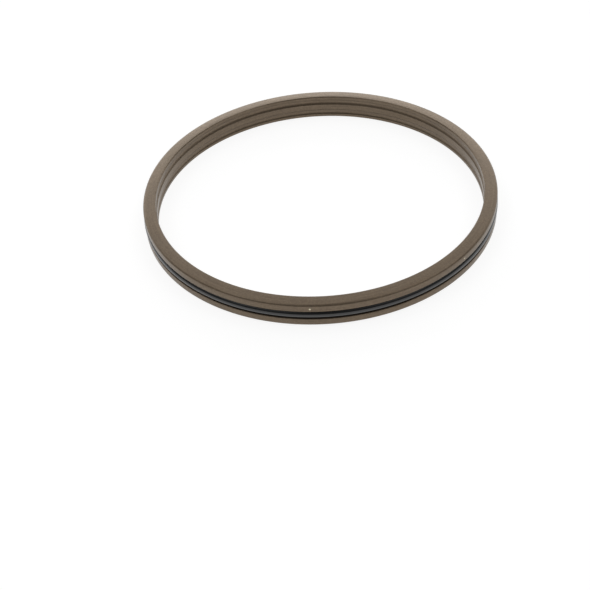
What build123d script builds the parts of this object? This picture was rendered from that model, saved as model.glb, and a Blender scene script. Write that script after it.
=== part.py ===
from build123d import *
import os

# Piston seal ring: a filled-plastic slipper ring that wipes the cylinder bore,
# with a rubber ring held in a groove round its outer face.
# Its inner face has two concave seats, with a land between them.
# Millimetres. +Z runs along the ring's axis, and z = 0 is the lower end face.

os.makedirs("parts", exist_ok=True)

# Slipper ring
bore_dia = 125.0            # cylinder bore that the outer lands run against
ring_height = 9.0           # over both end faces, at the inner lips
ring_wall = 4.5             # radial thickness, from the inner lips to the outer face
flat_land = 1.2             # flat part of each end face, next to the lip
end_drop = 0.25             # how far each end face falls away by the outer corner
corner_round = 0.8          # round between an end face and the outer face
lip_edge = 0.3              # bevel on each inner edge of the end faces

# Concave seats in the inner face, and the land between them
lip_height = 1.2            # each end lip, with its bevel
centre_land_height = 2.1
centre_land_rise = 0.15     # the centre land stands this far inside the lips
seat_radius = 1.77          # for a 3.53 mm cord

# Groove in the outer face, and the rubber ring in it
groove_width = 3.1
groove_depth = 2.5
groove_lip = 0.22           # bevel on each outer edge of the groove
rubber_proud = 0.2          # how far the rubber stands out of the outer face
rubber_gap = 0.3            # air on each side of the rubber
crown_radius = 1.38         # round of the rubber's outer face
foot_bevel = 0.3            # bevel on the two hidden edges of the rubber

# Sizes that follow from the ones above
outer_radius = bore_dia / 2
lip_radius = outer_radius - ring_wall
mid_z = ring_height / 2
centre_land_radius = lip_radius - centre_land_rise
groove_floor_radius = outer_radius - groove_depth
rubber_half = groove_width / 2 - rubber_gap
crown_top_radius = outer_radius + rubber_proud
crown_centre_radius = crown_top_radius - crown_radius
shoulder_radius = crown_centre_radius + (crown_radius**2 - rubber_half**2) ** 0.5


def at(radius, height):
    """A point of the half section, which is drawn in the XZ plane."""
    return (radius, 0, height)


def circle_centre(start, end, radius):
    """Centre of the seat's circle, on the side away from the wall."""
    mid_r = (start[0] + end[0]) / 2
    mid_h = (start[1] + end[1]) / 2
    across_r = end[0] - start[0]
    across_h = end[1] - start[1]
    chord = (across_r**2 + across_h**2) ** 0.5
    reach = (radius**2 - (chord / 2) ** 2) ** 0.5
    return (mid_r - across_h / chord * reach, mid_h + across_r / chord * reach)


def seat_arc(start, end, radius):
    """Arc that bulges outwards, into the ring's wall."""
    centre = circle_centre(start, end, radius)
    mid_r = (start[0] + end[0]) / 2 - centre[0]
    mid_h = (start[1] + end[1]) / 2 - centre[1]
    length = (mid_r**2 + mid_h**2) ** 0.5
    top = (centre[0] + mid_r / length * radius, centre[1] + mid_h / length * radius)
    return ThreePointArc(at(*start), at(*top), at(*end))


def near(vertices, spots):
    """The section's corners that lie on the given (radius, height) spots."""
    picked = []
    for vertex in vertices:
        for spot in spots:
            if (Vector(vertex.X, vertex.Y, vertex.Z) - Vector(*at(*spot))).length < 1e-4:
                picked.append(vertex)
    return picked


def end_corners(height, inward):
    """Corners of one end face, from the lip to the outer face. inward is +1 or -1."""
    lip = (lip_radius, height)
    flat_end = (lip_radius + flat_land, height)
    outer = (outer_radius, height + inward * end_drop)
    return [lip, flat_end, outer]


def make_slipper_ring():
    """The brown ring: one turned profile, swept round the axis."""
    bottom_lip, bottom_flat, bottom_outer = end_corners(0, 1)
    top_lip, top_flat, top_outer = end_corners(ring_height, -1)
    groove_low = mid_z - groove_width / 2
    groove_high = mid_z + groove_width / 2
    low_lip_end = (lip_radius, lip_height)
    high_lip_end = (lip_radius, ring_height - lip_height)
    low_land = (centre_land_radius, mid_z - centre_land_height / 2)
    high_land = (centre_land_radius, mid_z + centre_land_height / 2)
    groove = [
        (outer_radius, groove_low),
        (groove_floor_radius, groove_low),
        (groove_floor_radius, groove_high),
        (outer_radius, groove_high),
    ]
    outline = [low_lip_end, bottom_lip, bottom_flat, bottom_outer]
    outline += groove
    outline += [top_outer, top_flat, top_lip, high_lip_end]
    edges = [Line(at(*a), at(*b)) for a, b in zip(outline, outline[1:])]
    edges.append(seat_arc(low_lip_end, low_land, seat_radius))
    edges.append(Line(at(*low_land), at(*high_land)))
    edges.append(seat_arc(high_land, high_lip_end, seat_radius))
    section = make_face(edges)
    section = fillet(near(section.vertices(), [bottom_outer, top_outer]), corner_round)
    section = chamfer(near(section.vertices(), [bottom_lip, top_lip]), lip_edge)
    section = chamfer(near(section.vertices(), [groove[0], groove[-1]]), groove_lip)
    return revolve(section, Axis.Z)


def make_rubber_ring():
    """The black ring: half round outside, and flat on the groove's floor."""
    low = mid_z - rubber_half
    high = mid_z + rubber_half
    low_shoulder = (shoulder_radius, low)
    high_shoulder = (shoulder_radius, high)
    low_foot = (groove_floor_radius, low)
    high_foot = (groove_floor_radius, high)
    crown_top = (crown_top_radius, mid_z)
    edges = [
        ThreePointArc(at(*low_shoulder), at(*crown_top), at(*high_shoulder)),
        Line(at(*high_shoulder), at(*high_foot)),
        Line(at(*high_foot), at(*low_foot)),
        Line(at(*low_foot), at(*low_shoulder)),
    ]
    section = make_face(edges)
    section = chamfer(near(section.vertices(), [low_foot, high_foot]), foot_bevel)
    return revolve(section, Axis.Z)


slipper_ring = make_slipper_ring()
rubber_ring = make_rubber_ring()

export_step(slipper_ring, "parts/slipper_ring.step")
export_step(rubber_ring, "parts/rubber_ring.step")
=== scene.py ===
import bpy
import math
from mathutils import Matrix, Vector


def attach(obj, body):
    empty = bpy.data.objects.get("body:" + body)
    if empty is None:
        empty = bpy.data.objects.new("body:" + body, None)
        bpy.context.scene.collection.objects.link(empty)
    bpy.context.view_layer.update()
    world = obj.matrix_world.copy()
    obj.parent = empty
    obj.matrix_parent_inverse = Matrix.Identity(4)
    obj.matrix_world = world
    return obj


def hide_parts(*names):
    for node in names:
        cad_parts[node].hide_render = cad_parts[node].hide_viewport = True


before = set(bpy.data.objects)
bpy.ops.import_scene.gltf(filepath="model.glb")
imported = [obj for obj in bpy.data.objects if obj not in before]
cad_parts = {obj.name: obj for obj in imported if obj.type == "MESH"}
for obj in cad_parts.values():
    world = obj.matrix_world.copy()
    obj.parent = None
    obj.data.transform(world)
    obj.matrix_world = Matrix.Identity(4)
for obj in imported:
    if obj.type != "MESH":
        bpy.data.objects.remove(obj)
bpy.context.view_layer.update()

MM = 1000    # millimetres in a metre

# Sizes in millimetres, the same as in the part's source
OUTER = 62.5
HEIGHT = 9.0
LIP = 58.0
FLAT_LAND = 1.2
END_DROP = 0.25
CORNER = 0.8
LIP_EDGE = 0.3
LIP_HEIGHT = 1.2
LAND_HEIGHT = 2.1
LAND_RISE = 0.15
SEAT = 1.77
GROOVE_WIDTH = 3.1
GROOVE_DEPTH = 2.5
GROOVE_LIP = 0.22
PROUD = 0.2
GAP = 0.3
CROWN = 1.38
FOOT = 0.3
MID = HEIGHT / 2

# How finely the pieces are drawn
RING_STEPS = 720      # steps round the axis
LONGEST_RUN = 1.2     # longest straight edge of a section, in millimetres
SEAT_STEPS = 14
CORNER_STEPS = 10
CROWN_STEPS = 26
SHARP = 28            # edges sharper than this many degrees keep a crisp shade

# Finishes: linear colours, and roughness from the dark to the light parts
PLASTIC_DARK = (0.158, 0.115, 0.075)
PLASTIC_LIGHT = (0.234, 0.176, 0.120)
PLASTIC_GREY = (0.180, 0.140, 0.098)
FLECK = (0.380, 0.270, 0.160)
DUST = (0.780, 0.720, 0.500)
PLASTIC_METAL = 0.5
PLASTIC_IOR = 1.45
PLASTIC_ROUGH = (0.36, 0.29)
PLASTIC_BUMP = 0.5
RUBBER_DARK = (0.0035, 0.0042, 0.0046)
RUBBER_LIGHT = (0.0065, 0.0075, 0.0080)
RUBBER_IOR = 1.65
RUBBER_ROUGH = (0.22, 0.14)
RUBBER_BUMP = 0.3
BUMP_HEIGHT = 0.00002      # metres

# Grain of both finishes: scales are per metre, and a pair is a range of the noise
MOTTLE = (0.38, 0.62)      # from the dark to the light parts
PLASTIC_MIX = 0.6          # share of grain in the mottle; the rest is turning lines
RUBBER_MIX = 0.5
LINE_REACH = 0.0022        # how far the noise moves round the ring: less makes longer lines
PLASTIC_GRAIN = 1500.0
PLASTIC_LINES = 1700.0
DRIFT_SCALE = 130.0
DRIFT = (0.35, 0.65)       # from brown to the greyest parts
DRIFT_SHARE = 0.35
FLECK_SCALE = 4200.0
FLECK_EDGE = (0.18, 0.34)  # where a fleck starts and stops fading, in its cell
FLECK_CELLS = 0.3          # share of the cells that hold a fleck
FLECK_SHARE = 0.6
RUBBER_GRAIN = 1800.0
RUBBER_LINES = 1500.0

# Specks of dust on the ring: angle round it in degrees, distance from the axis,
# height, and the speck's radius; its edge is soft from SPECK_CORE of that radius
SPECK_CORE = 1 / 1.4
SPECKS = [
    (-94.9, 62.5, 7.2, 0.40),
    (-42.25, 62.5, 7.2, 0.30),
    (132.5, 58.3, 4.0, 0.22),
    (21.0, 58.0, 7.8, 0.22),
]


def arc(centre, radius, start, end, steps):
    """Points on a circle of the half section, angles in degrees."""
    points = []
    for i in range(steps + 1):
        a = math.radians(start + (end - start) * i / steps)
        points.append((centre[0] + radius * math.cos(a), centre[1] + radius * math.sin(a)))
    return points


def soften(points, sizes, steps=5):
    """Rounds the corners of a closed outline; sizes maps a corner to its cut-back."""
    out = []
    count = len(points)
    for i, p in enumerate(points):
        size = sizes.get(p, 0)
        if not size:
            out.append(p)
            continue
        before = Vector(points[i - 1])
        after = Vector(points[(i + 1) % count])
        here = Vector(p)
        a = here + (before - here).normalized() * size
        b = here + (after - here).normalized() * size
        for k in range(steps + 1):
            t = k / steps
            q = a * (1 - t) ** 2 + here * 2 * t * (1 - t) + b * t**2
            out.append((q.x, q.y))
    return out


def split(points, longest):
    """Adds points to the long straight runs, so that bump and shading stay even."""
    out = []
    for a, b in zip(points, points[1:] + points[:1]):
        run = math.dist(a, b)
        n = max(1, math.ceil(run / longest))
        for k in range(n):
            t = k / n
            out.append((a[0] + (b[0] - a[0]) * t, a[1] + (b[1] - a[1]) * t))
    return out


def lathe(name, section, steps):
    """Turns a closed half section round +Z into a ring of quads."""
    verts = []
    for j in range(steps):
        a = 2 * math.pi * j / steps
        c, s = math.cos(a), math.sin(a)
        verts += [(r * c / MM, r * s / MM, z / MM) for r, z in section]
    n = len(section)
    faces = []
    for j in range(steps):
        k = (j + 1) % steps
        for i in range(n):
            m = (i + 1) % n
            faces.append((j * n + i, k * n + i, k * n + m, j * n + m))
    mesh = bpy.data.meshes.new(name)
    mesh.from_pydata(verts, [], faces)
    mesh.validate()
    mesh.shade_smooth()
    mesh.set_sharp_from_angle(angle=math.radians(SHARP))
    piece = bpy.data.objects.new(name, mesh)
    bpy.context.scene.collection.objects.link(piece)
    return piece


def seat(start, end):
    """The seat's arc between two corners, bulging into the wall."""
    mid = ((start[0] + end[0]) / 2, (start[1] + end[1]) / 2)
    dr, dz = end[0] - start[0], end[1] - start[1]
    chord = math.hypot(dr, dz)
    reach = math.sqrt(SEAT**2 - (chord / 2) ** 2)
    centre = (mid[0] - dz / chord * reach, mid[1] + dr / chord * reach)
    a = math.degrees(math.atan2(start[1] - centre[1], start[0] - centre[0]))
    b = math.degrees(math.atan2(end[1] - centre[1], end[0] - centre[0]))
    return arc(centre, SEAT, a, b, SEAT_STEPS)


def ring_section():
    """The brown ring's half section, counter-clockwise from the lower lip."""
    low, high = MID - GROOVE_WIDTH / 2, MID + GROOVE_WIDTH / 2
    floor = OUTER - GROOVE_DEPTH
    slope = math.degrees(math.atan2(END_DROP, OUTER - LIP - FLAT_LAND))
    # Outer corner: the round's centre is CORNER in from both faces
    reach = CORNER / math.cos(math.radians(slope))
    drop = END_DROP - CORNER * math.tan(math.radians(slope))
    centre_low = (OUTER - CORNER, drop + reach)
    centre_high = (OUTER - CORNER, HEIGHT - drop - reach)
    outer_low = arc(centre_low, CORNER, -90 + slope, 0, CORNER_STEPS)
    outer_high = arc(centre_high, CORNER, 0, 90 - slope, CORNER_STEPS)
    points = [(LIP, LIP_HEIGHT), (LIP, LIP_EDGE), (LIP + LIP_EDGE, 0), (LIP + FLAT_LAND, 0)]
    points += outer_low
    lips = [(OUTER, low), (OUTER, high)]
    points += [lips[0], (floor, low), (floor, high), lips[1]]
    points += outer_high
    points += [(LIP + FLAT_LAND, HEIGHT), (LIP + LIP_EDGE, HEIGHT), (LIP, HEIGHT - LIP_EDGE)]
    points += [(LIP, HEIGHT - LIP_HEIGHT)]
    crest_low = (LIP - LAND_RISE, MID - LAND_HEIGHT / 2)
    crest_high = (LIP - LAND_RISE, MID + LAND_HEIGHT / 2)
    # The section runs down the inner face: each seat goes in backwards, without its ends
    points += seat(crest_high, (LIP, HEIGHT - LIP_HEIGHT))[-2:0:-1]
    points += [crest_high, crest_low]
    points += seat((LIP, LIP_HEIGHT), crest_low)[-2:0:-1]
    return soften(points, {corner: GROOVE_LIP for corner in lips})


def rubber_section():
    """The black ring's half section: half round outside, flat on the groove's floor."""
    half = GROOVE_WIDTH / 2 - GAP
    floor = OUTER - GROOVE_DEPTH
    centre = (OUTER + PROUD - CROWN, MID)
    reach = math.degrees(math.asin(half / CROWN))
    points = arc(centre, CROWN, -reach, reach, CROWN_STEPS)
    points += [(floor + FOOT, MID + half), (floor, MID + half - FOOT)]
    points += [(floor, MID - half + FOOT), (floor + FOOT, MID - half)]
    return points


# The two pieces
ring = lathe("slipper_ring_turned", split(ring_section(), LONGEST_RUN), RING_STEPS)
rubber = lathe("rubber_ring_moulded", split(rubber_section(), LONGEST_RUN), RING_STEPS)
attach(ring, "root")
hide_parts("slipper_ring")
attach(rubber, "root")
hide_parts("rubber_ring")


# Materials
def new_material(name):
    """An empty node material, with its tree."""
    material = bpy.data.materials.new(name)
    material.use_nodes = True
    tree = material.node_tree
    tree.nodes.clear()
    return material, tree


def add(tree, kind, **inputs):
    """A node of this kind with these values on its inputs; _ stands for a space."""
    node = tree.nodes.new(kind)
    for key, value in inputs.items():
        node.inputs[key.replace("_", " ")].default_value = value
    return node


def calc(tree, operation, *values):
    """A math node; each value is a number or another node's output."""
    node = tree.nodes.new("ShaderNodeMath")
    node.operation = operation
    for socket, value in zip(node.inputs, values):
        if isinstance(value, (int, float)):
            socket.default_value = value
        else:
            tree.links.new(value, socket)
    return node.outputs[0]


def ramp(tree, value, low, high, from_value, to_value, smooth=True):
    """Maps low..high to from_value..to_value, held at both ends."""
    node = tree.nodes.new("ShaderNodeMapRange")
    node.interpolation_type = "SMOOTHSTEP" if smooth else "LINEAR"
    node.inputs["From Min"].default_value = low
    node.inputs["From Max"].default_value = high
    node.inputs["To Min"].default_value = from_value
    node.inputs["To Max"].default_value = to_value
    tree.links.new(value, node.inputs["Value"])
    return node.outputs[0]


def blend_colours(tree, factor, first, second):
    """Mixes two colours; each is a tuple or another node's output."""
    node = tree.nodes.new("ShaderNodeMix")
    node.data_type = "RGBA"
    tree.links.new(factor, node.inputs[0])
    for socket, colour in ((node.inputs[6], first), (node.inputs[7], second)):
        if isinstance(colour, tuple):
            socket.default_value = (*colour, 1)
        else:
            tree.links.new(colour, socket)
    return node.outputs[2]


def noise(tree, coords, scale, detail=3.0, roughness=0.6):
    """Noise that is the same in every direction."""
    node = add(tree, "ShaderNodeTexNoise", Scale=scale, Detail=detail, Roughness=roughness)
    tree.links.new(coords.outputs["Object"], node.inputs["Vector"])
    return node.outputs[0]


def turning_lines(tree, coords, scale):
    """Noise that changes fast across the section and slowly round the ring."""
    parts = tree.nodes.new("ShaderNodeSeparateXYZ")
    tree.links.new(coords.outputs["Object"], parts.inputs[0])
    x, y, z = parts.outputs
    x_squared = calc(tree, "MULTIPLY", x, x)
    y_squared = calc(tree, "MULTIPLY", y, y)
    radius = calc(tree, "SQRT", calc(tree, "ADD", x_squared, y_squared))
    place = tree.nodes.new("ShaderNodeCombineXYZ")
    for socket, value in ((place.inputs[0], x), (place.inputs[1], y)):
        direction = calc(tree, "DIVIDE", value, radius)
        tree.links.new(calc(tree, "MULTIPLY", direction, LINE_REACH), socket)
    tree.links.new(z, place.inputs[2])
    lines = add(tree, "ShaderNodeTexNoise", Scale=scale, Detail=3.0, Roughness=0.55)
    lines.noise_dimensions = "4D"
    tree.links.new(place.outputs[0], lines.inputs["Vector"])
    tree.links.new(radius, lines.inputs["W"])
    return lines.outputs[0]


def filler_flecks(tree, coords):
    """1 on the grains of metal powder that show at the surface, else 0."""
    cells = add(tree, "ShaderNodeTexVoronoi", Scale=FLECK_SCALE)
    tree.links.new(coords.outputs["Object"], cells.inputs["Vector"])
    grain = ramp(tree, cells.outputs["Distance"], *FLECK_EDGE, 1.0, 0.0)
    pick = tree.nodes.new("ShaderNodeSeparateColor")
    tree.links.new(cells.outputs["Color"], pick.inputs[0])
    chosen = calc(tree, "LESS_THAN", pick.outputs[0], FLECK_CELLS)
    return calc(tree, "MULTIPLY", grain, chosen)


def dust(tree, coords):
    """1 inside the pale specks of dust that lie on the ring, else 0."""
    total = None
    for angle, radius, height, size in SPECKS:
        a = math.radians(angle)
        spot = (radius * math.cos(a) / MM, radius * math.sin(a) / MM, height / MM)
        gap = tree.nodes.new("ShaderNodeVectorMath")
        gap.operation = "DISTANCE"
        tree.links.new(coords.outputs["Object"], gap.inputs[0])
        gap.inputs[1].default_value = spot
        edge = size / MM
        inside = ramp(tree, gap.outputs["Value"], edge * SPECK_CORE, edge, 1.0, 0.0)
        total = inside if total is None else calc(tree, "MAXIMUM", total, inside)
    return total


def add_mottle(tree, grain, lines, share):
    """Grain and turning lines together; share is the grain's part."""
    return calc(tree, "MULTIPLY_ADD", grain, share, calc(tree, "MULTIPLY", lines, 1 - share))


def add_surface(tree, shader, mottle, roughness, strength):
    """Gives the shader its roughness and a fine bump, both from the mottle."""
    rough = ramp(tree, mottle, *MOTTLE, *roughness, smooth=False)
    tree.links.new(rough, shader.inputs["Roughness"])
    bump = add(tree, "ShaderNodeBump", Strength=strength, Distance=BUMP_HEIGHT)
    tree.links.new(mottle, bump.inputs["Height"])
    tree.links.new(bump.outputs[0], shader.inputs["Normal"])


def filled_plastic():
    """Satin plastic with a fine metal filler: mottled brown, faint turning lines."""
    material, tree = new_material("filled_plastic")
    out = tree.nodes.new("ShaderNodeOutputMaterial")
    shader = add(tree, "ShaderNodeBsdfPrincipled", Metallic=PLASTIC_METAL, IOR=PLASTIC_IOR)
    tree.links.new(shader.outputs[0], out.inputs[0])
    coords = tree.nodes.new("ShaderNodeTexCoord")
    grain = noise(tree, coords, PLASTIC_GRAIN, detail=4.0, roughness=0.7)
    broad = noise(tree, coords, DRIFT_SCALE, detail=3.0, roughness=0.5)
    lines = turning_lines(tree, coords, PLASTIC_LINES)
    flecks = filler_flecks(tree, coords)
    mottle = add_mottle(tree, grain, lines, PLASTIC_MIX)
    spread = ramp(tree, mottle, *MOTTLE, 0.0, 1.0, smooth=False)
    brown = blend_colours(tree, spread, PLASTIC_DARK, PLASTIC_LIGHT)
    drift = ramp(tree, broad, *DRIFT, 0.0, DRIFT_SHARE, smooth=False)
    brown = blend_colours(tree, drift, brown, PLASTIC_GREY)
    brown = blend_colours(tree, calc(tree, "MULTIPLY", flecks, FLECK_SHARE), brown, FLECK)
    specked = blend_colours(tree, dust(tree, coords), brown, DUST)
    tree.links.new(specked, shader.inputs["Base Color"])
    add_surface(tree, shader, mottle, PLASTIC_ROUGH, PLASTIC_BUMP)
    return material


def black_rubber():
    """Moulded rubber: near black with a soft sheen and a fine even grain."""
    material, tree = new_material("black_rubber")
    out = tree.nodes.new("ShaderNodeOutputMaterial")
    shader = add(tree, "ShaderNodeBsdfPrincipled", Metallic=0.0, IOR=RUBBER_IOR)
    tree.links.new(shader.outputs[0], out.inputs[0])
    coords = tree.nodes.new("ShaderNodeTexCoord")
    fine = noise(tree, coords, RUBBER_GRAIN)
    lines = turning_lines(tree, coords, RUBBER_LINES)
    mottle = add_mottle(tree, fine, lines, RUBBER_MIX)
    spread = ramp(tree, mottle, *MOTTLE, 0.0, 1.0, smooth=False)
    black = blend_colours(tree, spread, RUBBER_DARK, RUBBER_LIGHT)
    tree.links.new(black, shader.inputs["Base Color"])
    add_surface(tree, shader, mottle, RUBBER_ROUGH, RUBBER_BUMP)
    return material


ring.data.materials.append(filled_plastic())
rubber.data.materials.append(black_rubber())


# Floor
FLOOR_SIZE = 6          # metres
FLOOR_DROP = 0.00002    # metres below the ring, so that the two don't touch
PAPER = 0.9             # white paper, as it lights the ring
SHOWN_PAPER = 0.24      # the same paper in view: a paler shadow on a white glow
SHOWN_GLOW = 0.87


def make_floor():
    """White floor that keeps the ring's soft shadow."""
    bpy.ops.mesh.primitive_plane_add(size=FLOOR_SIZE, location=(0, 0, -FLOOR_DROP))
    floor = bpy.context.object
    floor.name = "floor"
    material, tree = new_material("floor")
    link = tree.links.new
    out = tree.nodes.new("ShaderNodeOutputMaterial")
    paper = add(tree, "ShaderNodeBsdfDiffuse", Color=(PAPER, PAPER, PAPER, 1))
    shown = add(tree, "ShaderNodeBsdfDiffuse", Color=(SHOWN_PAPER, SHOWN_PAPER, SHOWN_PAPER, 1))
    glow = add(tree, "ShaderNodeEmission", Color=(1, 1, 1, 1), Strength=SHOWN_GLOW)
    seen = add(tree, "ShaderNodeAddShader")
    path = tree.nodes.new("ShaderNodeLightPath")
    in_view = calc(tree, "MAXIMUM", path.outputs["Is Camera Ray"], path.outputs["Is Glossy Ray"])
    mix = tree.nodes.new("ShaderNodeMixShader")
    link(shown.outputs[0], seen.inputs[0])
    link(glow.outputs[0], seen.inputs[1])
    link(in_view, mix.inputs[0])
    link(paper.outputs[0], mix.inputs[1])
    link(seen.outputs[0], mix.inputs[2])
    link(mix.outputs[0], out.inputs[0])
    floor.data.materials.append(material)


# The studio: strengths, and the bands of elevation in degrees where each light
# grows or fades; behind the ring is +Y
WALL = 2.9                 # bright wall behind the ring
WALL_FOOT = (-5, 16)       # it grows here, from WALL_LOW of its strength
WALL_LOW = 0.2
WALL_TOP = (28, 37)        # it fades out here
BACK_BOX = 0.7             # soft box above that wall
BACK_BOX_EDGE = (31, 47)
SIDE_BOXES = 1.5           # soft boxes on the left and right
SIDE_BOXES_EDGE = (36, 52)
LOW_SIDES = 0.15           # grey walls below them
LOW_SIDES_TOP = (20, 36)
OVERHEAD = (60, 80)        # the soft boxes fade here, to OVERHEAD_LOW of their strength
OVERHEAD_LOW = 0.3
ROOM = 0.14                # the dark rest of the room
LIGHT_COLOUR = (0.8, 0.8, 0.8, 1)


def make_world():
    """White in view; a dark studio, lit from behind and both sides, for the rest."""
    world = bpy.data.worlds.new("studio")
    bpy.context.scene.world = world
    world.use_nodes = True
    tree = world.node_tree
    tree.nodes.clear()
    link = tree.links.new
    out = tree.nodes.new("ShaderNodeOutputWorld")
    coords = tree.nodes.new("ShaderNodeTexCoord")
    parts = tree.nodes.new("ShaderNodeSeparateXYZ")
    link(coords.outputs["Generated"], parts.inputs[0])
    x, y, z = parts.outputs
    elevation = calc(tree, "MULTIPLY", calc(tree, "ARCSINE", z), math.degrees(1))
    # Squared cosines of the direction, seen from above: 1 straight behind or straight to a side
    level = calc(tree, "SUBTRACT", 1.0, calc(tree, "MULTIPLY", z, z))
    level = calc(tree, "MAXIMUM", level, 1e-6)    # never 0, because it divides below
    behind = calc(tree, "MAXIMUM", y, 0.0)
    back = calc(tree, "DIVIDE", calc(tree, "MULTIPLY", behind, behind), level)
    side = calc(tree, "DIVIDE", calc(tree, "MULTIPLY", x, x), level)
    overhead = ramp(tree, elevation, *OVERHEAD, 1.0, OVERHEAD_LOW)
    wall_foot = ramp(tree, elevation, *WALL_FOOT, WALL_LOW, 1.0)
    wall_top = ramp(tree, elevation, *WALL_TOP, 1.0, 0.0)
    back_box_edge = ramp(tree, elevation, *BACK_BOX_EDGE, 0.0, 1.0)
    side_boxes_edge = ramp(tree, elevation, *SIDE_BOXES_EDGE, 0.0, 1.0)
    low_sides_top = ramp(tree, elevation, *LOW_SIDES_TOP, 1.0, 0.0)
    lights = [
        (back, wall_foot, wall_top, WALL),
        (back, back_box_edge, overhead, BACK_BOX),
        (side, side_boxes_edge, overhead, SIDE_BOXES),
        (side, low_sides_top, 1.0, LOW_SIDES),
    ]
    total = ROOM
    for where, start, stop, strength in lights:
        shape = calc(tree, "MULTIPLY", calc(tree, "MULTIPLY", where, start), stop)
        total = calc(tree, "ADD", calc(tree, "MULTIPLY", shape, strength), total)
    sky = add(tree, "ShaderNodeBackground", Color=LIGHT_COLOUR)
    link(total, sky.inputs["Strength"])
    white = add(tree, "ShaderNodeBackground", Color=(1, 1, 1, 1))
    path = tree.nodes.new("ShaderNodeLightPath")
    mix = tree.nodes.new("ShaderNodeMixShader")
    link(path.outputs["Is Camera Ray"], mix.inputs[0])
    link(sky.outputs[0], mix.inputs[1])
    link(white.outputs[0], mix.inputs[2])
    link(mix.outputs[0], out.inputs[0])


# The photograph's camera, from a fit to the ring's circles in it
IMAGE_WIDTH = 590       # pixels
FOCAL = 1250.0          # pixels
SENSOR = 36             # millimetres
BACK = 5.70             # along -Y from the ring's axis, in outer radii
HIGH = 4.3777           # above the floor, in outer radii
YAW = -0.03274          # radians
PITCH = 0.72365
ROLL = -0.08367


def make_camera():
    """Looks along +Y and down at the ring, turned by the three angles."""
    unit = OUTER / MM
    level = math.cos(PITCH)
    forward = Vector((math.sin(YAW) * level, math.cos(YAW) * level, -math.sin(PITCH)))
    right = Vector((math.cos(YAW), -math.sin(YAW), 0))
    up = right.cross(forward)
    right_rolled = right * math.cos(ROLL) + up * math.sin(ROLL)
    up_rolled = up * math.cos(ROLL) - right * math.sin(ROLL)
    data = bpy.data.cameras.new("camera")
    data.sensor_width = SENSOR
    data.lens = FOCAL / IMAGE_WIDTH * SENSOR
    data.clip_start = 0.01
    camera = bpy.data.objects.new("camera", data)
    turn = Matrix((right_rolled, up_rolled, -forward)).transposed()
    camera.matrix_world = Matrix.Translation((0, -BACK * unit, HIGH * unit)) @ turn.to_4x4()
    bpy.context.scene.collection.objects.link(camera)
    bpy.context.scene.camera = camera


make_floor()
make_world()
make_camera()
bpy.context.scene.view_settings.view_transform = "Standard"
